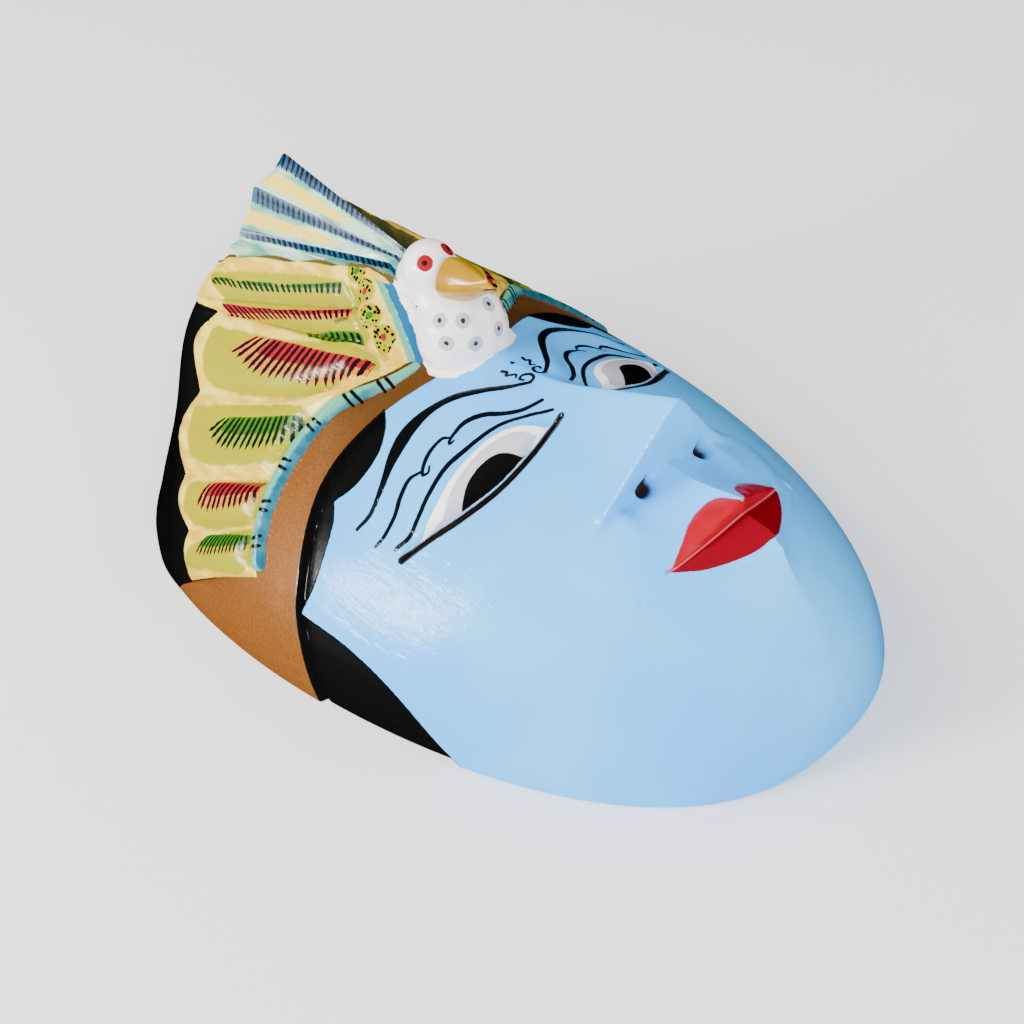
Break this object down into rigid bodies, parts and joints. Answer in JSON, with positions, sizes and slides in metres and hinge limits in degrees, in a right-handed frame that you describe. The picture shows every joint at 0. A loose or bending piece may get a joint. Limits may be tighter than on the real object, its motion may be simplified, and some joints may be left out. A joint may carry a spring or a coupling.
{
  "type": "carved mask",
  "caption": "Hollow carved wooden topeng dance mask with a bird headdress, narrow eye slits and a flat rim.",
  "frame": {"origin": "middle of the mask's box in plan, on the plane of its rim", "axes": "+Z out of the face, away from the wearer; +Y from the chin to the crown; +X across, towards the wearer's left"},
  "size_m": [0.146, 0.216, 0.099],
  "materials": {
    "painted_wood": "gloss paint, many colours"
  },
  "bodies": {
    "root": {"mask": "painted_wood"}
  },
  "joints": []
}
